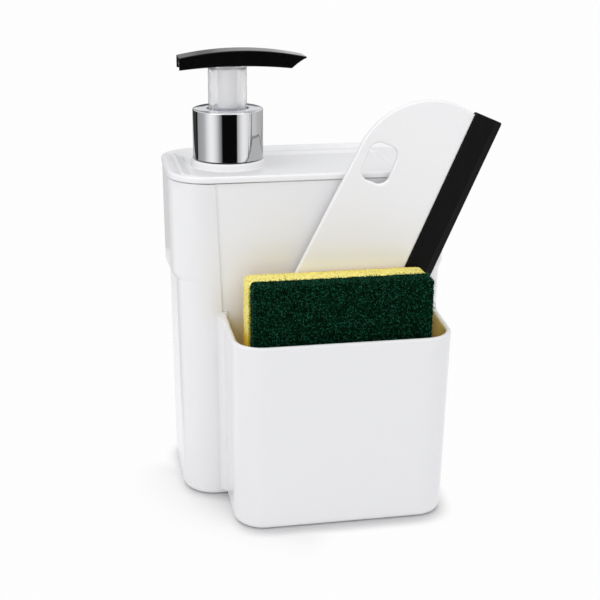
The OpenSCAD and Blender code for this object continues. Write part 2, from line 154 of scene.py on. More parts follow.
def within(look, value, *edges):  # 1 between the second and third edge, 0 outside the first and last
    rise = look.add("MapRange", Value=value, slot1=edges[0], slot2=edges[1])
    fall = look.add("MapRange", Value=value, slot1=edges[2], slot2=edges[3], slot3=1.0, slot4=0.0)
    return rise * fall


# in narrow places as wide and as high as the pocket the white mouldings take a warm tone: painted bounce
# light from the yellow foam
paintedBounce = {  # the zone's blend along X and Z in metres, and the openness where the painted bounce light starts and is full
    "x": (-0.0372, -0.0362, 0.0510, 0.0520), "z": (0.0035, 0.0070, 0.0750, 0.0980), "nook": (0.62, 0.08),
}


def mouldedPlastic(name, light, shade, roughness, bounceTone=None):
    look = Finish(name, IOR=1.5, Specular_IOR_Level=0.5)
    cloud = look.speckle(38, 2.0)
    fine = look.speckle(1400, 2.0, 0.6)
    wear = look.speckle(210, 5.0, 0.7)
    tone = look.blendOf(cloud, light, shade)
    if bounceTone:
        x, _, z = look.components(look.place)
        zone = within(look, x, *paintedBounce["x"]) * within(look, z, *paintedBounce["z"])
        # painted bounce light: the foam's yellow, strongest where the moulding is most closed in
        tone = look.blendOf(look.nook(*paintedBounce["nook"]) * zone, tone, bounceTone)
    look.feed(
        Base_Color=tone,
        Roughness=roughness + (wear - 0.5) * 0.04,
        Normal=look.relief(cloud * 0.2 + fine * 0.06, 0.00002, 0.4),
    )
    return look.material


def plated():
    look = Finish("collarChrome", Metallic=1.0, Base_Color=(0.82, 0.825, 0.84, 1))
    haze = look.speckle(120, 4.0, 0.6)
    wipe = look.speckle(900, 2.0, 0.5, (1, 1, 0.08))
    look.feed(Roughness=0.03 + haze * 0.02 + wipe * 0.015, Normal=look.relief(haze, 0.000004, 0.3))
    return look.material


def blackGloss():
    look = Finish("headBlack", IOR=1.5, Coat_Weight=0.4, Coat_Roughness=0.04)
    cloud = look.speckle(60, 3.0)
    dust = look.speckle(1900, 2.0, 0.7)
    look.feed(
        Base_Color=look.blendOf(cloud, (0.0015, 0.0015, 0.0018, 1), (0.003, 0.003, 0.0033, 1)),
        Roughness=0.11 + cloud * 0.08 + dust * 0.05,
        Normal=look.relief(cloud, 0.00002, 0.3),
    )
    return look.material


def simpleFinish(name, grain, dark, light, rough, bump=None, **fixed):
    look = Finish(name, **fixed)
    flow = look.speckle(*grain)
    look.feed(Base_Color=look.blendOf(flow, dark, light), Roughness=rough[0] + flow * rough[1])
    if bump:
        look.feed(Normal=look.relief(flow, *bump))
    return look.material


def bladeRubber():
    look = Finish("bladeRubber", IOR=1.5, Specular_IOR_Level=0.1)
    skin = look.speckle(1500, 3.0, 0.7)
    drag = look.speckle(220, 4.0, 0.6, (1, 1, 0.12))
    look.feed(
        Base_Color=look.blendOf(drag, (0.003, 0.003, 0.0033, 1), (0.006, 0.006, 0.0065, 1)),
        Roughness=0.42 + drag * 0.2,
        Normal=look.relief(skin * 0.5 + drag * 0.3, 0.00003, 0.5),
    )
    return look.material


def spongeFoam():
    # the foam glows faintly yellow: a painted glow that throws yellow light on the white walls round it
    look = Finish("foamYellow", IOR=1.4, Specular_IOR_Level=0.1, Emission_Color=(1.0, 0.72, 0.16, 1),
                  Emission_Strength=0.05)
    cells = look.pits(1500.0)
    big = look.pits(520.0)
    patch = look.speckle(260, 4.0, 0.65)
    # the darker tones in the pores and holes are painted shade inside them
    pores = look.ramp(cells, (0.1, 0.0), (0.5, 1.0))
    holes = look.ramp(big, (0.1, 0.0), (0.34, 1.0))
    sunny = look.blendOf(patch, (0.9, 0.79, 0.19, 1), (0.99, 0.915, 0.35, 1))
    light = look.blendOf(pores, (0.62, 0.5, 0.09, 1), sunny)
    airy = look.blendOf(holes, (0.66, 0.52, 0.08, 1), light)
    # the base colour turns a deeper, saturated yellow where the foam is closed in: painted shade
    look.feed(
        Base_Color=look.blendOf(look.nook(0.1, 0.75), (0.82, 0.56, 0.02, 1), airy),
        Roughness=0.85 + patch * 0.1,
        Normal=look.relief(pores * 0.6 + holes * 0.6, 0.0004, 0.8),
    )
    return look.material


def scouringFibre(name, dark, light):
    look = Finish(name, IOR=1.45, Specular_IOR_Level=0.03)
    tangle = look.speckle(1900, 3.0, 0.7)
    patch = look.speckle(300, 4.0, 0.65)
    grit = look.pits(1500.0)
    tone = look.ramp(tangle * 0.75 + patch * 0.25, (0.4, 0.0), (0.5, 0.35), (0.6, 1.0))
    look.feed(
        Base_Color=look.blendOf(tone, dark, light),
        Roughness=0.7 + patch * 0.2,
        Normal=look.relief(tangle * 0.7 + grit * 0.5, 0.0004, 0.9),
    )
    return look.material


finishes = {look.name: look for look in (
    # the last colour given to the shell and the tank is the tone of their painted bounce light from the foam
    mouldedPlastic("shellWhite", (0.862, 0.86, 0.868, 1), (0.856, 0.854, 0.862, 1), 0.17,
                   (0.95, 0.74, 0.15, 1)),
    mouldedPlastic("tankWhite", (0.895, 0.892, 0.905, 1), (0.889, 0.886, 0.898, 1), 0.2,
                   (0.82, 0.66, 0.22, 1)),
    mouldedPlastic("plateWhite", (0.93, 0.924, 0.928, 1), (0.925, 0.918, 0.922, 1), 0.2),
    mouldedPlastic("lidWhite", (0.91, 0.907, 0.913, 1), (0.903, 0.9, 0.906, 1), 0.3),
    mouldedPlastic("pumpWhite", (0.9, 0.9, 0.9, 1), (0.87, 0.87, 0.88, 1), 0.4),
    plated(),
    blackGloss(),
    bladeRubber(),
    spongeFoam(),
    simpleFinish("clearPlastic", (90, 3.0, 0.5, (1, 1, 0.2)), (0.955, 0.955, 0.97, 1),
                 (0.985, 0.985, 0.99, 1), (0.06, 0.05), (0.000002, 0.1), IOR=1.42, Transmission_Weight=0.78),
    simpleFinish("smokyPlastic", (200, 3.0), (0.1, 0.15, 0.25, 1), (0.16, 0.22, 0.34, 1), (0.12, 0.1),
                 IOR=1.46, Transmission_Weight=0.3),
    simpleFinish("tubeNatural", (70, 3.0, 0.5, (1, 1, 0.1)), (0.8, 0.81, 0.8, 1), (0.9, 0.9, 0.9, 1),
                 (0.3, 0.15), IOR=1.46, Transmission_Weight=0.4),
    simpleFinish("pistonSoft", (300, 3.0), (0.7, 0.73, 0.76, 1), (0.8, 0.82, 0.84, 1), (0.5, 0.15),
                 (0.00003, 0.5), IOR=1.45),
    simpleFinish("springSteel", (700, 3.0, 0.6, (1, 1, 0.3)), (0.55, 0.56, 0.58, 1), (0.7, 0.7, 0.72, 1),
                 (0.2, 0.15), Metallic=1.0),
    # the strand finishes step from dark to light; the lighter strands are partly the fibres' own tone and
    # partly painted glints on them
    scouringFibre("padGreen", (0.0003, 0.0036, 0.0014, 1), (0.0014, 0.019, 0.0078, 1)),
    scouringFibre("fibreDark", (0.0008, 0.0145, 0.006, 1), (0.0028, 0.035, 0.0155, 1)),
    scouringFibre("fibreGreen", (0.006, 0.075, 0.036, 1), (0.013, 0.115, 0.059, 1)),
    scouringFibre("fibreLight", (0.022, 0.15, 0.088, 1), (0.045, 0.23, 0.145, 1)),
)}
print("finishes:", len(finishes))


def placed(name, data):  # a new object in the scene
    thing = bpy.data.objects.new(name, data)
    bpy.context.scene.collection.objects.link(thing)
    return thing


# the camera stands where the photo was taken from
camera = {
    "place": (-91.43, -444.30, 234.12), "turn": -9.34, "rise": 18.58,
    "lens": 65.403, "sensor": 36, "shift": (0.0667, -0.0184), "near": 0.01,
}
eye = placed("photoCamera", bpy.data.cameras.new("photoCamera"))
eye.data.lens = camera["lens"]
eye.data.sensor_width = camera["sensor"]
eye.data.shift_x, eye.data.shift_y = camera["shift"]
eye.data.clip_start = camera["near"]
eye.location = Vector(camera["place"]) * mm
turn, rise = math.radians(camera["turn"]), math.radians(camera["rise"])
back = Vector((math.sin(turn) * math.cos(rise), -math.cos(turn) * math.cos(rise), math.sin(rise)))
eye.rotation_euler = back.to_track_quat("Z", "Y").to_euler()
bpy.context.scene.camera = eye
bpy.context.scene.view_settings.view_transform = "Standard"
print("camera placed")


def arcOf(cx, cy, r, start, stop, steps):
    return [
        (cx + r * math.cos(math.radians(start + (stop - start) * i / steps)),
         cy + r * math.sin(math.radians(start + (stop - start) * i / steps)))
        for i in range(steps + 1)
    ]


def roundedPlan(x0, x1, y0, y1, r, steps=16):
    r = max(r, 0.05)
    return (arcOf(x1 - r, y1 - r, r, 0, 90, steps) + arcOf(x0 + r, y1 - r, r, 90, 180, steps)
            + arcOf(x0 + r, y0 + r, r, 180, 270, steps) + arcOf(x1 - r, y0 + r, r, 270, 360, steps))


def newPiece(name, points, faces, sharp=30):
    mesh = bpy.data.meshes.new(name)
    mesh.from_pydata([Vector(p) * mm for p in points], [], faces)
    return smoothed(placed(name, mesh), sharp)


def smoothed(piece, sharp=30):
    bm = bmesh.new()
    bm.from_mesh(piece.data)
    bmesh.ops.remove_doubles(bm, verts=bm.verts, dist=0.002 * mm)
    bmesh.ops.recalc_face_normals(bm, faces=bm.faces)
    for face in bm.faces:
        face.smooth = True
    bm.to_mesh(piece.data)
    bm.free()
    piece.data.set_sharp_from_angle(angle=math.radians(sharp))
    return piece


# a closed skin through rings of equal length, with a face on the first and last ring
def loft(name, rings, sharp=30, closed=False):
    size = len(rings[0])
    points = [p for ring in rings for p in ring]
    faces = []
    last = len(rings) if closed else len(rings) - 1
    for i in range(last):
        low, high = i * size, (i + 1) % len(rings) * size
        for k in range(size):
            n = (k + 1) % size
            faces.append((low + k, low + n, high + n, high + k))
    if not closed:
        faces.append(tuple(range(size))[::-1])
        faces.append(tuple(range((len(rings) - 1) * size, len(rings) * size)))
    return newPiece(name, points, faces, sharp)


def level(plan, z):  # z is a height, or a function of y
    return [(x, y, z(y) if callable(z) else z) for x, y in plan]


def turned(name, profile, x, steps=96, sharp=30):  # a profile of radii and heights, round an upright axis
    rings = [[(x + r * math.cos(2 * math.pi * k / steps), r * math.sin(2 * math.pi * k / steps), z)
              for k in range(steps)] for r, z in profile]
    return loft(name, rings, sharp, closed=True)


# a flat outline in X and Z, drawn out in Y
def upright(name, outline, y0, y1):
    return loft(name, [[(x, y, z) for x, z in outline] for y in (y0, y1)])


def settle(piece):
    bpy.context.view_layer.update()
    seen = piece.evaluated_get(bpy.context.evaluated_depsgraph_get())
    mesh = bpy.data.meshes.new_from_object(seen)
    piece.modifiers.clear()
    piece.data = mesh


def joined(piece, other, how="UNION"):
    tool = piece.modifiers.new(how, "BOOLEAN")
    tool.operation = how
    tool.solver = "EXACT"
    tool.object = other
    settle(piece)
    bpy.data.objects.remove(other)
    return smoothed(piece)


def eased(piece, width, pick):  # rounds the edges that pick() chooses by their middle point, in mm
    bm = bmesh.new()
    bm.from_mesh(piece.data)
    chosen = [e for e in bm.edges if len(e.link_faces) == 2
              and e.calc_face_angle(0) > math.radians(35) and e.is_convex
              and pick(*((e.verts[0].co + e.verts[1].co) / 2 / mm))]
    bmesh.ops.bevel(bm, geom=chosen, offset=width * mm, segments=3, profile=0.5,
                    affect="EDGES", clamp_overlap=True)
    bm.to_mesh(piece.data)
    bm.free()
    return smoothed(piece)


def finished(piece, finish, slot, body, *stands):
    weigh = piece.modifiers.new("evenNormals", "WEIGHTED_NORMAL")
    weigh.keep_sharp = True
    piece.data.materials.clear()
    piece.data.materials.append(finishes[finish])
    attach(piece, body)
    if stands:
        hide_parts(*stands)
    return piece


# the moulded shell: rear body with its side bands, and the open pocket in front
shell = {
    "width": 116.6, "depth": 60.6, "height": 137.0, "step": 2.05, "wall": 2.2, "draft": 0.0084,
    "bandRadius": 16.5, "lowerRadius": 14.0, "foot": 2.4, "floor": 3.0,
    "kink": 92.0, "kinkSlope": 0.177, "blend": 4.9, "blendSlope": 0.093, "shoulder": 97.1,
    "windowTop": 41.1, "windowFoot": 38.8, "windowLow": 35.5,
    "windowLowZ": 52.0, "rim": 79.4, "windowCorner": 83.7, "windowCornerX": 36.8, "windowSkew": 0.11,
    "windowDeep": (-30.45, -26.1),
}
pocket = {
    "x0": -38.1, "x1": 51.2, "y": -61.7, "radius": 12.4, "flare": 2.1, "back": -22.0,
    "floor": 2.4, "rimRadius": 1.0, "fillet": 0.9, "sink": 0.9, "edge": 0.9,
    "root": 5.0, "rootTurn": 80, "rootRise": 1.35, "rootTaper": 0.45, "rootSink": 0.5,
}
lowerWidth = shell["width"] - 2 * shell["step"]
rightTurn = math.pi / 2


def leanIn(z):
    return shell["draft"] * (shell["height"] - z)


def bodyPlan(z, width, radius, inset):
    s = inset + leanIn(z)
    return roundedPlan(-width / 2 + s, width / 2 - s, -shell["depth"] / 2 + s, shell["depth"] / 2 - s,
                       radius - inset)


def pocketPlan(z, inset):
    s = inset + shell["draft"] * (shell["rim"] - z)
    r = max(pocket["radius"] - inset, 1)
    x0, x1, y0 = pocket["x0"] + s, pocket["x1"] - s, pocket["y"] + s
    return ([(x1 + pocket["flare"], pocket["back"]), (x0, pocket["back"])]
            + arcOf(x0 + r, y0 + r, r, 180, 270, 16) + arcOf(x1 - r, y0 + r, r, 270, 360, 16))


def footCurve(radius):  # insets and heights up the rounded lower edge
    for i in range(7):
        a = rightTurn * (1 - i / 6)
        yield radius * (1 - math.cos(a)), radius * (1 - math.sin(a))


def shellBody():
    lower, wide = shell["lowerRadius"], shell["width"]
    rings = [level(bodyPlan(0, lowerWidth, lower, inset), z) for inset, z in footCurve(shell["foot"])]
    for h in (0.0, 0.12, 0.3, 0.5, 0.75, 1.0):
        out = 1 - (1 - h) ** 1.5
        slope = shell["kinkSlope"] + (shell["blendSlope"] - shell["kinkSlope"]) * h
        z = shell["kink"] + shell["blend"] * h
        radius = lower + (shell["bandRadius"] - lower) * out
        plan = bodyPlan(z, lowerWidth + 2 * shell["step"] * out, radius, 0)
        rings.append(level(plan, lambda y, z=z, slope=slope: z - slope * y))
    rings.append(level(bodyPlan(shell["height"], wide, shell["bandRadius"], 0), shell["height"]))
    return loft("caddyShell", rings)


def compartment():
    w, lower, top = shell["wall"], shell["lowerRadius"], shell["height"] + 1
    floor, z = shell["floor"], shell["shoulder"]
    rings = [level(bodyPlan(floor, lowerWidth, lower, inset), height)
             for inset, height in ((w + 2, floor), (w + 0.6, floor + 0.6), (w, floor + 2))]
    rings += [
        level(bodyPlan(z, lowerWidth, lower, w), z),
        level(bodyPlan(z, shell["width"], shell["bandRadius"], w), z + 0.05),
        level(bodyPlan(top, shell["width"], shell["bandRadius"], w), top),
    ]
    return loft("compartment", rings)


def pocketBowl():
    w, r, rim, floor = shell["wall"], pocket["rimRadius"], shell["rim"], pocket["floor"]
    rings = [level(pocketPlan(0, inset), z) for inset, z in footCurve(shell["foot"])]
    for i in range(6):
        a = rightTurn * i / 5
        rings.append(level(pocketPlan(rim, r - r * math.cos(a)), rim - r + r * math.sin(a)))
    for i in range(6):
        a = rightTurn * (1 - i / 5)
        rings.append(level(pocketPlan(rim, w - r + r * math.cos(a)), rim - r + r * math.sin(a)))
    rings += [level(pocketPlan(0, inset), z)
              for inset, z in ((w, floor + 3), (w + 0.7, floor + 0.7), (w + 2, floor))]
    return loft("pocketBowl", rings)


def frontAt(x):
    past = max(abs(x) - (lowerWidth / 2 - shell["lowerRadius"]), 0)
    return -shell["depth"] / 2 + shell["lowerRadius"] - math.sqrt(shell["lowerRadius"] ** 2 - past ** 2)


def rimSweep(x):
    r, z0 = pocket["fillet"] + pocket["sink"], shell["rim"] - 0.3
    y0 = frontAt(x) + pocket["sink"]
    curve = [(y0 - r + r * math.sin(a), z0 + r - r * math.cos(a))
             for a in [rightTurn * i / 12 for i in range(13)]]
    outline = [(y0 + 0.6, z0 + r), (y0 + 0.6, z0 - 0.8), (y0 - r, z0 - 0.8)] + curve
    w = shell["wall"] / 2
    return loft("rimSweep", [[(x + side, y, z) for y, z in outline] for side in (-w, w)])


def wallRoot():  # the left wall spreads and rises as it runs into the front of the shell
    r, edge, foot, rings = pocket["root"], pocket["edge"], shell["floor"], []
    slant = shell["draft"] * 75  # how far the wall leans in down to its foot
    for i in range(17):
        a = math.radians(pocket["rootTurn"] * i / 16)
        spread = r * (1 - math.cos(a))
        reach = frontAt(pocket["x0"]) + pocket["rootSink"] - r * (1 - math.sin(a))
        top = shell["rim"] + pocket["rootRise"] * spread
        x0, x1 = pocket["x0"] - spread, pocket["x0"] + shell["wall"] - pocket["rootTaper"] * spread
        ring = [(x1 - 0.05 + slant, foot), (x1 - 0.05, top - 1.0)]
        ring += [(x - 0.02, z) for x, z in arcOf(x1 - edge, top - edge, edge, 0, 90, 6)]
        ring += arcOf(x0 + edge, top - edge, edge, 90, 180, 6)
        ring += [(x0 + slant, foot)]
        rings.append([(x, reach + leanIn(z), z) for x, z in ring])
    return loft("wallRoot", rings)


def windowOutline(grow):
    foot, top, low = shell["windowFoot"] + grow, shell["windowTop"] + grow, shell["windowLow"] + grow
    sill, lowSill = shell["rim"] - grow, shell["windowLowZ"] - grow
    corner, cornerX = shell["windowCorner"] - grow, -shell["windowCornerX"] - grow
    high, left = shell["height"] + 1, -foot - shell["windowSkew"]
    return [(-low, lowSill), (low, lowSill), (low, sill), (foot, sill), (top, high), (-top, high),
            (left, corner), (cornerX, corner), (cornerX, sill), (-low, sill)]


caddy = shellBody()
joined(caddy, pocketBowl())
joined(caddy, wallRoot())
joined(caddy, rimSweep(pocket["x1"] + pocket["flare"] * 0.9 - shell["wall"] / 2))
joined(caddy, compartment(), "DIFFERENCE")
joined(caddy, upright("window", windowOutline(-0.1), *shell["windowDeep"]), "DIFFERENCE")
eased(caddy, 0.1, lambda x, y, z: 38 < abs(x) < 41.6 and y < -28 and z > 84)
finished(caddy, "shellWhite", "shell_white", "caddy", "caddy_body")
print("caddy shell:", len(caddy.data.polygons), "faces")


# the drop-in tank, whose raised front fills the shell's window
tank = {"gap": 0.35, "wall": 1.7, "foot": 3.4, "seam": 0.16, "panelBack": 0.4, "panelFootBack": 0.9}


def tankPiece():
    g, foot, z = shell["wall"] + tank["gap"], tank["foot"], shell["shoulder"]
    lower, top = shell["lowerRadius"], shell["height"]
    rings = [
        level(bodyPlan(foot, lowerWidth, lower, g + 2), foot),
        level(bodyPlan(foot, lowerWidth, lower, g + 0.6), foot + 0.6),
        level(bodyPlan(foot, lowerWidth, lower, g), foot + 2),
        level(bodyPlan(z, lowerWidth, lower, g), z),
        level(bodyPlan(z, shell["width"], shell["bandRadius"], g), z + 0.6),
        level(bodyPlan(top, shell["width"], shell["bandRadius"], g), top),
    ]
    piece = loft("soapTank", rings)
    frontTop = -shell["depth"] / 2 + tank["panelBack"]
    frontFoot = -shell["depth"] / 2 + leanIn(shell["rim"]) + tank["panelFootBack"]
    rear = -shell["depth"] / 2 + shell["wall"] + 2
    outline = [(x, min(z, top)) for x, z in windowOutline(-tank["seam"])]
    slope = (frontTop - frontFoot) / (top - shell["rim"])
    panel = loft("panel", [[(x, frontFoot + slope * (z - shell["rim"]), z) for x, z in outline],
                           [(x, rear, z) for x, z in outline]])
    joined(piece, panel)
    inner = g + tank["wall"]
    hollow = loft("hollow", [
        level(bodyPlan(shell["floor"], lowerWidth, lower, inner + 1.5), foot + 1.7),
        level(bodyPlan(shell["floor"], lowerWidth, lower, inner), foot + 3.2),
        level(bodyPlan(top, lowerWidth, lower, inner), top + 1),
    ])
    joined(piece, hollow, "DIFFERENCE")
    return eased(piece, 0.1, lambda x, y, z: 38 < abs(x) < 41.2 and y < -28.5 and z > 80)


tankShell = finished(tankPiece(), "tankWhite", "tank_white", "tank", "reservoir_tank")
print("tank:", len(tankShell.data.polygons), "faces")


# the lid: rim, sloped shoulder, fine groove and ridge, shallow tray, neck ring
lid = {
    "over": 0.35, "low": 137.1, "seam": 0.4, "top": 140.0, "pump": -31.8, "ring": 15.2, "ringTop": 141.4,
    "middle": 138.45, "trayFloor": 137.3, "trays": ((-17.0, 37.0, -14.0, 23.0), (-48.9, 37.0, 3.0, 23.0)),
    "skirtLow": 131.0, "skirtWall": 1.6, "neck": 12.0, "neckTop": 156.7, "bore": 10.5,
}


def lidPlan(side, front, rear, radius):
    half, deep = shell["width"] / 2 + lid["over"], shell["depth"] / 2 + lid["over"]
    return roundedPlan(-half + side, half - side, -deep + front, deep - rear, radius, 18)


def lidPiece():
    top, seat, middle = lid["top"], lid["low"] + lid["seam"], lid["middle"]
    profile = [  # inset at the sides, in front and behind, corner radius, height
        (2.6, 2.6, 2.6, 14.2, lid["low"]), (2.4, 2.4, 2.4, 14.4, seat), (0.25, 0.25, 0.25, 16.6, seat),
        (0, 0, 0, 16.85, seat + 0.25), (0, 0, 0, 16.85, top - 1.0), (0.08, 0.08, 0.08, 16.78, top - 0.6),
        (0.3, 0.28, 0.28, 16.6, top - 0.3), (0.8, 0.6, 0.6, 16.2, top - 0.08), (1.6, 1.0, 1.1, 15.4, top),
        (2.6, 1.3, 1.6, 14.5, top - 0.1), (3.8, 1.5, 2.0, 13.4, top - 0.35),
        (4.5, 1.65, 2.3, 12.7, top - 0.6), (4.9, 1.8, 2.5, 12.3, top - 0.85),
        (5.2, 1.9, 2.7, 12.0, top - 0.8), (5.6, 2.0, 2.9, 11.6, top - 0.4),
        (6.1, 2.1, 3.2, 11.2, top - 0.25), (6.5, 2.2, 3.5, 10.8, top - 0.4),
        (8.2, 2.45, 4.4, 9.6, top - 1.15), (9.0, 2.6, 4.8, 9.2, top - 1.4),
        (9.6, 2.9, 5.2, 8.9, middle), (10.6, 3.6, 6.0, 8.4, middle),
    ]
    piece = loft("pumpLid", [level(lidPlan(*row[:4]), row[4]) for row in profile], 42)
    floor = lid["trayFloor"]
    for x0, x1, y0, y1 in lid["trays"]:
        tray = loft("tray", [
            level(roundedPlan(x0 + 0.9, x1 - 1.4, y0 + 0.7, y1 - 2.9, 4.4), floor),
            level(roundedPlan(x0 + 0.35, x1 - 1.0, y0 + 0.25, y1 - 2.4, 4.8), floor + 0.15),
            level(roundedPlan(x0 + 0.1, x1 - 0.8, y0, y1 - 2.1, 5.0), floor + 0.5),
            level(roundedPlan(x0, x1 - 0.3, y0 - 0.1, y1 - 1.2, 5.2), middle - 0.3),
            level(roundedPlan(x0 - 0.2, x1, y0 - 0.3, y1 - 0.4, 5.5), middle - 0.06),
            level(roundedPlan(x0 - 0.4, x1 + 0.3, y0 - 0.5, y1, 5.8), middle + 0.3),
            level(roundedPlan(x0 - 0.4, x1 + 0.3, y0 - 0.5, y1 + 0.6, 5.8), top + 1),
        ])
        joined(piece, tray, "DIFFERENCE")
    hanging, inset = floor - 1.7, shell["wall"] + tank["gap"] + tank["wall"] + 0.3
    outer, inner = (bodyPlan(shell["height"], lowerWidth, shell["lowerRadius"], inset + wall)
                    for wall in (0, lid["skirtWall"]))
    joined(piece, loft("plug", [level(outer, z) for z in (hanging, floor - 0.15)]))
    low, high = lid["skirtLow"], floor - 1.0
    skirtRings = [level(outer, low), level(outer, high), level(inner, high), level(inner, low)]
    joined(piece, loft("skirt", skirtRings, closed=True))
    r, ringTop, bore = lid["ring"], lid["ringTop"], lid["bore"]
    neck = turned("neck", [
        (bore, hanging), (r + 0.7, hanging), (r + 0.7, floor), (r + 0.7, middle), (r + 0.45, middle + 0.08),
        (r + 0.3, middle + 0.35), (r + 0.25, middle + 0.6), (r + 0.1, ringTop - 0.8), (r, ringTop - 0.45),
        (r - 0.2, ringTop - 0.15), (r - 0.6, ringTop), (lid["neck"], ringTop),
        (lid["neck"], lid["neckTop"]), (bore, lid["neckTop"]),
    ], lid["pump"])
    joined(piece, neck)
    under, over = hanging - 2, 160
    drill = turned("bore", [(0.01, under), (bore, under), (bore, over), (0.01, over)], lid["pump"])
    joined(piece, drill, "DIFFERENCE")
    return piece


pumpLid = finished(lidPiece(), "lidWhite", "shell_white", "lid", "lid")
pumpLid.visible_glossy = False  # the plated collar shows only the studio's cards
print("lid:", len(pumpLid.data.polygons), "faces")


# the plated collar, with a finely rounded top edge
collar = {
    "radius": 14.5, "low": 141.6, "top": 162.1, "hole": 8.6, "round": 0.5, "lip": 0.3,
    "inner": 13.7, "plate": 1.2,
}


def collarPiece():
    r, low, top, soft, hole, lip = (collar[k] for k in ("radius", "low", "top", "round", "hole", "lip"))
    inner, under = collar["inner"], top - collar["plate"]
    crown = [(r - soft + soft * math.cos(a), top - 0.15 - soft + soft * math.sin(a))
             for a in [math.radians(72) * i / 8 for i in range(9)]] + [(r - soft - 0.35, top)]
    edge = [(hole + lip - lip * math.sin(a), top - lip + lip * math.cos(a))
            for a in [rightTurn * i / 4 for i in range(5)]]
    side = [(inner, low), (r - 0.4, low), (r - 0.1, low + 0.12), (r, low + 0.4)]
    profile = side + crown + edge + [(hole, under), (inner, under)]
    return turned("chromeCollar", profile, lid["pump"], 192, 40)


chromeCollar = finished(collarPiece(), "collarChrome", "collar_chrome", "collar", "collar_shell")
print("collar:", len(chromeCollar.data.polygons), "faces")

# the clear skirt under the head, with its arm inside the black cover
skirt = {
    "radius": 7.9, "bore": 5.95, "foot": 160.5, "roof": 178.6, "top": 179.4, "socket": 4.05,
    "armX": (-51.4, -5.4), "armZ": (178.9, 181.4), "armHalf": 3.0,
}


def skirtPiece():
    r, b, foot, roof, top, socket = (skirt[k] for k in ("radius", "bore", "foot", "roof", "top", "socket"))
    return turned("clearSkirt", [
        (socket, roof), (b - 1.2, roof), (b - 0.5, roof - 0.2), (b - 0.15, roof - 0.6), (b, roof - 1.3),
        (b, foot + 0.15), (b + 0.15, foot), (r - 0.2, foot), (r, foot + 0.2), (r, top), (socket, top),
    ], lid["pump"])


def armPiece():
    (x0, x1), (z0, z1), half = skirt["armX"], skirt["armZ"], skirt["armHalf"]
    piece = upright("arm", [(x0, z0), (x1, z0), (x1, z1), (x0, z1)], -half, half)
    return eased(piece, 0.3, lambda x, y, z: True)


clearSkirt = joined(skirtPiece(), armPiece())
finished(clearSkirt, "clearPlastic", "clear_plastic", "head", "nozzle_core")
clearSkirt.visible_shadow = False  # light reaches the stem through it

# the black cover: an arched bar with a flat top, open below, cut back at its right tip
head = {
    "left": -51.9, "right": -0.2, "width": 12.4, "endTop": 183.1, "farTop": 182.8, "crest": 185.7,
    "endLow": 178.2, "lowCrest": 179.4, "heel": 0.6, "undercut": 6.0,
    "wall": 1.3, "round": 0.3, "hollow": 47.0,
}


def headHeights(x):
    left, right, heel, cut = (head[k] for k in ("left", "right", "heel", "undercut"))
    t = (x - left) / (right - left)
    arch = 4 * t * (1 - t)
    u = max(min((x - left - heel) / (right - cut - left - heel), 1), 0)
    lowArch = 4 * u * (1 - u)
    end = head["endTop"] + (head["farTop"] - head["endTop"]) * t
    top = end + (head["crest"] - 0.02 - (head["endTop"] + head["farTop"]) / 2) * arch
    low = head["endLow"] + (head["lowCrest"] - head["endLow"]) * lowArch
    past = max(x - (right - cut), 0) / cut
    return top, low + (top - 0.5 - low) * past


def barSection(x, inset):
    top, low = headHeights(x)
    half, r = head["width"] / 2 - inset, max(head["round"] - inset, 0.15)
    top -= inset
    low = min(low, top - 2 * r) - (2 if inset else 0)
    return [(x, y, z) for y, z in roundedPlan(-half, half, low, top, r, 5)]


def headPiece():
    stations = [head["left"] + (head["right"] - head["left"]) * i / 60 for i in range(61)]
    piece = loft("headCover", [barSection(x, 0) for x in stations], 40)
    inside = [head["left"] - 1 + head["hollow"] * i / 40 for i in range(41)]
    hollow = loft("hollow", [barSection(x, head["wall"]) for x in inside], 40)
    joined(piece, hollow, "DIFFERENCE")
    return eased(piece, 0.3, lambda x, y, z: x < head["left"] + 0.2 or z < 180)


headCover = finished(headPiece(), "headBlack", "head_black", "head", "head_cover")
print("pump head:", len(headCover.data.polygons), "faces")

# the squeegee leans on the rim, in a plane behind the sponge
squeegee = {
    "lean": 23.0, "foot": (7.3, -33.9, 2.5), "blade": 12.1, "length": 169.5, "thick": 2.6, "soft": 0.95,
    "arc": (-19.6, 138.6, 30.8), "low": (-18.6, 42.0, 38.0), "plateFoot": 8.0,
    "hole": (-40.2, 136.8, 11.9, 15.7, 4.0, -1.5), "bladeHalf": 2.0, "tipHalf": 0.5, "lip": 2.6,
}
lean = math.radians(squeegee["lean"])
leaning = Matrix.Translation(Vector(squeegee["foot"])) @ Matrix.Rotation(lean, 4, "Y")


def leaned(piece):
    scaled = Matrix.Scale(mm, 4) @ leaning @ Matrix.Scale(1 / mm, 4)
    piece.data.transform(scaled)
    return piece


def outlineCurve(curve, points):
    spline = curve.splines.new("POLY")
    spline.points.add(len(points) - 1)
    for point, (x, z) in zip(spline.points, points):
        point.co = (x * mm, z * mm, 0, 1)
    spline.use_cyclic_u = True


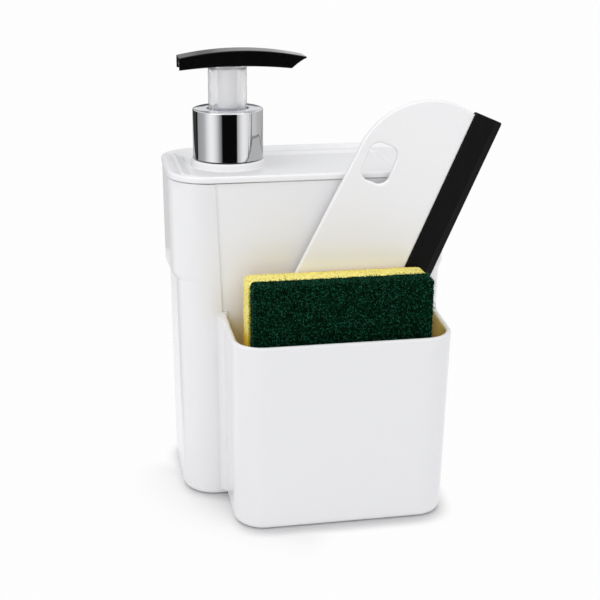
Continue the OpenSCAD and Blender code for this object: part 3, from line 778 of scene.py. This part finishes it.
def platePiece():
    cx, cz, r = squeegee["arc"]
    lx, lz, lr = squeegee["low"]
    edge = -squeegee["blade"]
    last = 90 - math.degrees(math.asin((edge - cx) / r))
    outline = arcOf(cx, cz, r, 180, last, 40) + [(edge, squeegee["plateFoot"])]
    outline += arcOf(lx, lz, lr, 262, 180, 24)
    hx, hz, w, h, hr, tilt = squeegee["hole"]
    a = math.radians(-tilt)
    hole = [(hx + x * math.cos(a) - z * math.sin(a), hz + x * math.sin(a) + z * math.cos(a))
            for x, z in roundedPlan(-w / 2, w / 2, -h / 2, h / 2, hr, 10)]
    curve = bpy.data.curves.new("squeegeePlate", "CURVE")
    curve.dimensions = "2D"
    curve.fill_mode = "BOTH"
    outlineCurve(curve, outline)
    outlineCurve(curve, hole)
    soft = squeegee["soft"]
    curve.extrude = (squeegee["thick"] / 2 - soft) * mm
    curve.bevel_depth = soft * mm
    curve.bevel_resolution = 4
    curve.offset = -soft * mm
    shape = placed("plateCurve", curve)
    bpy.context.view_layer.update()
    mesh = bpy.data.meshes.new_from_object(shape.evaluated_get(bpy.context.evaluated_depsgraph_get()))
    bpy.data.objects.remove(shape)
    mesh.transform(Matrix.Rotation(rightTurn, 4, "X"))
    return leaned(smoothed(placed("squeegeePlate", mesh), 50))


def bladePiece():
    w, h, tip, lip = (squeegee[k] for k in ("blade", "bladeHalf", "tipHalf", "lip"))
    side = [
        (-w, 0.6), (-w, h - 0.45), (-w + 0.12, h - 0.2), (-w + 0.4, h), (-lip - 0.9, h),
        (-lip - 0.5, h - 0.12), (-lip + 0.1, h - 0.62), (-0.5, tip + 0.14), (-0.25, tip + 0.02),
        (-0.06, tip - 0.16), (0, tip - 0.35),
    ]
    section = side + [(x, -y) for x, y in side[::-1]]
    length, middle = squeegee["length"], -w / 2
    heights = [(0.0, 0.35), (0.12, 0.1), (0.4, 0.0),
               (length - 0.8, 0.0), (length - 0.25, 0.16), (length, 0.6)]
    rings = [[(middle + (x - middle) * (1 - shrink * 2 / w), y * (1 - shrink / h), z) for x, y in section]
             for z, shrink in heights]
    return leaned(loft("squeegeeBlade", rings, 28))


squeegeePlate = finished(platePiece(), "plateWhite", "plate_white", "squeegee", "squeegee_plate")
squeegeeBlade = finished(bladePiece(), "bladeRubber", "blade_rubber", "squeegee", "squeegee_blade")
print("squeegee:", len(squeegeePlate.data.polygons), "and", len(squeegeeBlade.data.polygons), "faces")

# the sponge: porous foam behind, scouring pad in front
sponge = {
    "x": 5.7, "width": 74.0, "foot": 2.45, "back": -36.2, "foam": 12.0, "pad": 8.0,
    "foamTop": 101.45, "padTop": 102.25, "foamCorner": 2.6, "padCorner": 1.6, "padInset": 1.15,
    "foamCell": 0.8, "padCell": 0.7, "foamRough": (0.35, 0.9, 4), "padRough": (0.34, 1.3, 9),
    "strands": {"fibreDark": 11000, "fibreGreen": 12000, "fibreLight": 8500}, "thread": 0.085,
    "length": (0.35, 1.1), "bend": 0.2, "lift": (0.05, 0.42), "rise": (0, 0.25, 0.55, 1.15),
}


def softSlab(name, y0, y1, inset, z1, r, cell):
    half = sponge["width"] / 2 - inset
    x0, x1 = sponge["x"] - half, sponge["x"] + half
    z0 = sponge["foot"]
    across, tall = round((x1 - x0) / cell), round((z1 - z0) / cell)

    def onOutline(u, v):  # a square grid pulled into the rounded outline
        x, z = x0 + (x1 - x0) * u, z0 + (z1 - z0) * v
        cx = min(max(x, x0 + r), x1 - r)
        cz = min(max(z, z0 + r), z1 - r)
        dx, dz = x - cx, z - cz
        reach = max(abs(dx), abs(dz))
        if dx and dz:
            far = math.hypot(dx, dz)
            return cx + dx / far * reach, cz + dz / far * reach
        return x, z

    grid = [[onOutline(i / across, k / tall) for k in range(tall + 1)] for i in range(across + 1)]
    points, faces, index = [], [], {}

    def vertex(key, place):
        if key not in index:
            index[key] = len(points)
            points.append(place)
        return index[key]

    for side, y in ((0, y0), (1, y1)):
        for i in range(across):
            for k in range(tall):
                corners = [vertex((side, a, b), (grid[a][b][0], y, grid[a][b][1]))
                           for a, b in ((i, k), (i + 1, k), (i + 1, k + 1), (i, k + 1))]
                faces.append(tuple(corners if side == 0 else corners[::-1]))
    border = ([(i, 0) for i in range(across)] + [(across, k) for k in range(tall)]
              + [(i, tall) for i in range(across, 0, -1)] + [(0, k) for k in range(tall, 0, -1)])
    layers = max(round((y1 - y0) / cell), 2)

    def edgeVertex(layer, i, k):
        if layer == 0:
            return index[(0, i, k)]
        if layer == layers:
            return index[(1, i, k)]
        x, z = grid[i][k]
        return vertex(("edge", layer, i, k), (x, y0 + (y1 - y0) * layer / layers, z))

    for n, (i, k) in enumerate(border):
        j, m = border[(n + 1) % len(border)]
        for layer in range(layers):
            faces.append((edgeVertex(layer, i, k), edgeVertex(layer + 1, i, k),
                          edgeVertex(layer + 1, j, m), edgeVertex(layer, j, m)))
    return newPiece(name, points, faces, 180)


def roughened(piece, depth, scale, seed):
    shift = Vector((seed * 3.1, seed * 1.7, seed * 0.9))
    mesh = piece.data
    for vertex, normal in zip(mesh.vertices, [v.normal.copy() for v in mesh.vertices]):
        p = vertex.co / mm
        amount = noise.fractal(p * scale + shift, 0.8, 2.0, 4) * depth
        if p.z < sponge["foot"] + 2:  # the foot stays flat
            amount = min(amount, 0)
        vertex.co += normal * (amount - depth * 0.45) * mm


foamBack, foamFront = sponge["back"], sponge["back"] - sponge["foam"]
foam = softSlab("foamBlock", foamFront, foamBack, 0.0, sponge["foamTop"], sponge["foamCorner"],
                sponge["foamCell"])
soften = foam.modifiers.new("soften", "SMOOTH")
soften.iterations = 3
settle(foam)
roughened(foam, *sponge["foamRough"])
foamBlock = finished(foam, "foamYellow", "foam_yellow", "sponge", "sponge_foam")

pad = softSlab("padBlock", foamFront - sponge["pad"], foamFront - 0.02, sponge["padInset"],
               sponge["padTop"], sponge["padCorner"], sponge["padCell"])
roughened(pad, *sponge["padRough"])
random.seed(21)


def strandsOn(name, piece, count):  # short loose threads with three sides
    mesh = piece.data
    mesh.calc_loop_triangles()
    triangles = [t for t in mesh.loop_triangles if t.normal.y < 0.6]
    points, faces = [], []
    for _ in range(count):
        t = random.choice(triangles)
        a, b, c = (mesh.vertices[i].co / mm for i in t.vertices)
        u, v = sorted((random.random(), random.random()))
        start = a * u + b * (v - u) + c * (1 - v)
        normal = Vector(t.normal)
        along = normal.orthogonal().normalized()
        along.rotate(Matrix.Rotation(random.uniform(0, 2 * math.pi), 3, normal))
        across = normal.cross(along)
        length, bend = random.uniform(*sponge["length"]), random.uniform(-sponge["bend"], sponge["bend"])
        lift, radius = random.uniform(*sponge["lift"]), sponge["thread"] * random.uniform(0.7, 1.2)
        rise = random.choice(sponge["rise"])
        steps, first = 3, len(points)
        for s in range(steps + 1):
            f = s / steps
            centre = (start + along * (length * (f - 0.5)) + across * bend * (4 * f * (1 - f) - 0.5)
                      + normal * (lift * 4 * f * (1 - f) + rise * f * f - 0.12))
            r = radius * (0.35 if s in (0, steps) else 1.0)
            for k in range(3):
                angle = 2 * math.pi * k / 3
                points.append(centre + across * math.cos(angle) * r + normal * math.sin(angle) * r)
        for s in range(steps):
            low, high = first + s * 3, first + (s + 1) * 3
            for k in range(3):
                n = (k + 1) % 3
                faces.append((low + k, low + n, high + n, high + k))
        end = first + steps * 3
        faces.append((first, first + 2, first + 1))
        faces.append((end, end + 1, end + 2))
    mesh = bpy.data.meshes.new(name)
    mesh.from_pydata([p * mm for p in points], [], faces)
    return placed(name, mesh)


for finish, count in sponge["strands"].items():
    fibres = strandsOn("pad" + finish[0].upper() + finish[1:], pad, count)
    finished(fibres, finish, "pad_green", "sponge")
finished(pad, "padGreen", "pad_green", "sponge", "scouring_pad")
print("sponge:", len(foam.data.polygons), "and", len(pad.data.polygons), "faces, fibres", sponge["strands"])

# the pump's inner mouldings keep their CAD shapes
innerFinishes = {
    "neck_gasket": "pistonSoft", "threaded_closure": "pumpWhite", "pump_housing": "pumpWhite",
    "stem": "pumpWhite", "piston_plug": "pumpWhite", "piston": "pistonSoft", "chaplet": "smokyPlastic",
    "dip_tube": "tubeNatural", "inlet_ball": "springSteel", "return_spring": "springSteel",
}
for node, finish in innerFinishes.items():
    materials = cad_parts[node].data.materials
    materials.clear()
    materials.append(finishes[finish])
print("pump mouldings finished")

# studio: pale floor, white surroundings, soft lamps, and cards that only show in reflections
studio = {
    "sky": 0.715, "glow": 0.8, "white": 0.985, "floor": 1.6, "floorZ": -0.02, "far": (0.12, 0.30),
    "contact": 0.0095, "contactRange": (0.25, 0.9), "corner": 0.09, "cornerRange": (0.12, 0.8),
    "notch": (-0.046, -0.044, 0.0), "notchRange": (0.019, 0.056),
    "ring": 360.0, "ringLow": 24.0, "ringTop": 215.0, "ringGlow": 1.08,
    "lineBearing": 206, "lineSlope": 1280, "lineRange": (0.8, 2.6), "lineTone": 0.15,
}


def skyLight():
    world = bpy.data.worlds.new("studioSky")
    bpy.context.scene.world = world
    world.use_nodes = True
    sky = Nodes(world.node_tree)
    seen, gloss = sky.rayIs("Camera", "Transmission"), sky.rayIs("Glossy")
    plain = sky.add("Background", Color=(0.98, 0.985, 1, 1), Strength=studio["sky"])
    shown = sky.add("Background", Color=(1, 1, 1, 1), Strength=studio["white"])
    glow = sky.add("Background", Color=(0.95, 0.97, 1, 1), Strength=studio["glow"])
    lit = sky.add("MixShader", slot0=gloss, slot1=plain, slot2=glow)
    sky.add("OutputWorld", Surface=sky.add("MixShader", slot0=seen, slot1=lit, slot2=shown))


def stageLook(piece):  # an empty node tree for a material of the stage piece's own
    material = bpy.data.materials.new(piece.name)
    material.use_nodes = True
    piece.data.materials.append(material)
    return Nodes(material.node_tree)


def paleFloor():  # shown as white with a soft shadow round the foot, plain and matt for other light
    size, z = studio["floor"] / mm, studio["floorZ"]
    floor = newPiece("paleFloor", [(-size, -size, z), (size, -size, z), (size, size, z), (-size, size, z)],
                     [(0, 1, 2, 3)])
    look = stageLook(floor)
    place = look.add("NewGeometry")
    away = look.add("VectorMath", {"operation": "LENGTH"}, output="Value", slot0=place)
    aside = look.add("VectorMath", {"operation": "DISTANCE"}, output="Value", slot0=place,
                     slot1=studio["notch"])
    matt = look.add("BsdfDiffuse", Color=(0.93, 0.93, 0.935, 1))
    shaded = look.add("BsdfDiffuse", Color=(0.6, 0.6, 0.605, 1))
    white = look.add("Emission", Color=(1, 1, 1, 1), Strength=studio["white"])
    tilted = look.add("CombineXYZ", X=0.0, Y=0.65, Z=0.76)
    contact = look.smoothStep(look.openness(24, studio["contact"], Normal=tilted), *studio["contactRange"])
    corner = look.smoothStep(look.openness(24, studio["corner"]), *studio["cornerRange"])
    clear = corner.most(look.smoothStep(aside, *studio["notchRange"]))
    lit = contact.least(clear).most(look.smoothStep(away, *studio["far"]))
    shown = look.add("MixShader", slot0=lit, slot1=shaded, slot2=white)
    seen = look.rayIs("Camera", "Transmission", "Glossy")
    look.add("OutputMaterial", Surface=look.add("MixShader", slot0=seen, slot1=matt, slot2=shown))
    return floor


def onlyReflected(card):
    for way in ("camera", "diffuse", "transmission", "volume_scatter", "shadow"):
        setattr(card, "visible_" + way, False)
    return card


def cardRing():  # what the plated collar and the black head reflect, by direction round the pump
    steps, r, x = 180, studio["ring"], lid["pump"]
    points, faces = [], []
    for i in range(steps):
        a = 2 * math.pi * i / steps
        points += [(x + r * math.cos(a), r * math.sin(a), z)
                   for z in (studio["ringLow"], studio["ringTop"])]
        n = (i + 1) % steps
        faces.append((2 * i, 2 * n, 2 * n + 1, 2 * i + 1))
    ring = newPiece("cardRing", points, faces)
    look = stageLook(ring)
    east, north, height = look.components(look.add("NewGeometry"))
    bearing = east.maths("ARCTAN2", east - x * mm, 0 - north) * (0.5 / math.pi) + 0.5
    bands = (
        (-180, 0.022), (-140, 0.043), (-131, 0.03), (-128, 0.0), (-124, 0.0), (-120.5, 0.315), (-104, 0.375),
        (-90, 0.44), (-77.4, 0.74), (-65.7, 0.93), (-54.6, 0.885), (-44, 0.66), (-33.5, 0.305), (-27.5, 0.15),
        (-25.5, 0.003), (21, 0.003), (23, 0.42), (27.4, 0.53), (38, 0.825), (49.4, 0.875), (61, 0.72),
        (74, 0.56), (88, 0.58), (105, 0.47), (127, 0.44), (150, 0.4), (180, 0.022),
    )
    tone = look.ramp(bearing, *[((angle + 180) / 360, bright) for angle, bright in bands])
    off = bearing * 360 - studio["lineBearing"] - height * studio["lineSlope"]
    line = look.smoothStep(off.maths("ABSOLUTE", off), *studio["lineRange"], slot3=studio["lineTone"])
    look.add("OutputMaterial", Surface=look.add("Emission", Color=tone, Strength=line * studio["ringGlow"]))
    return onlyReflected(ring)


def flatCard(name, start, stop, axis, tones):  # between two corners, toned along one axis
    second, fourth = list(start), list(stop)
    second[axis], fourth[axis] = stop[axis], start[axis]
    card = newPiece(name, [start, second, stop, fourth], [(0, 1, 2, 3)])
    look = stageLook(card)
    first, last = tones[0][0], tones[-1][0]
    along = look.components(look.add("NewGeometry"))[axis]
    fraction = look.add("MapRange", Value=along, slot1=first * mm, slot2=last * mm)
    tone = look.ramp(fraction, *[((at - first) / (last - first), bright / 2) for at, bright in tones])
    look.add("OutputMaterial", Surface=look.add("Emission", Color=tone, Strength=2.0))
    return onlyReflected(card)


def sideCard():  # a bright card beside the left corner, grey behind it
    tones = [(-60, 1.0), (-20, 1.25), (11.0, 1.25), (12.2, 0.52), (500.0, 0.5)]
    return flatCard("sideCard", (-88.0, -60, 0.5), (-88.0, 500.0, 127.0), 1, tones)


def endCard():  # closes the far end of the side card, inside the ring and too low for the collar
    return flatCard("endCard", (-88, 345.0, 0.5), (-50, 345.0, 70.0), 0, [(-88, 0.52), (-50, 0.52)])


def underLidCard():  # what the collar's lower right shows in place of the lid
    return flatCard("underLidCard", (-14, -30, 136.9), (58, 30, 136.9), 0, [(-14, 0.5), (58, 0.5)])


def headCard():  # behind the pump head: dark at the left, bright at the right
    tones = [(-75, 0.36), (-42, 0.36), (-36, 0.26), (-30, 0.28), (-25, 0.4), (-12, 0.5), (6, 0.54),
             (17, 0.78), (50, 0.9)]
    return flatCard("headCard", (-75, 100.0, 184.0), (50, 100.0, 250.0), 0, tones)


lamps = {  # place, aim and side in metres, watts
    "overhead": ((0.1, -0.1, 1.3), (0, 0, 0.08), 1.3, 2.9),
    "frontRight": ((0.5, -0.7, 0.8), (0, 0, 0.1), 0.6, 0.95),
    "leftFill": ((-0.5, -0.35, 0.65), (0, 0, 0.1), 0.5, 1.3),
}


def softLamp(name, place, aim, side, watts):
    lamp = bpy.data.lights.new(name, "AREA")
    lamp.shape = "RECTANGLE"
    lamp.size = lamp.size_y = side
    lamp.energy = watts
    holder = placed(name, lamp)
    holder.location = place
    holder.rotation_euler = (Vector(place) - Vector(aim)).to_track_quat("Z", "Y").to_euler()


skyLight()
paleFloor()
cardRing()
sideCard()
endCard()
headCard()
underLidCard()
for name, lamp in lamps.items():
    softLamp(name, *lamp)
print("studio set")
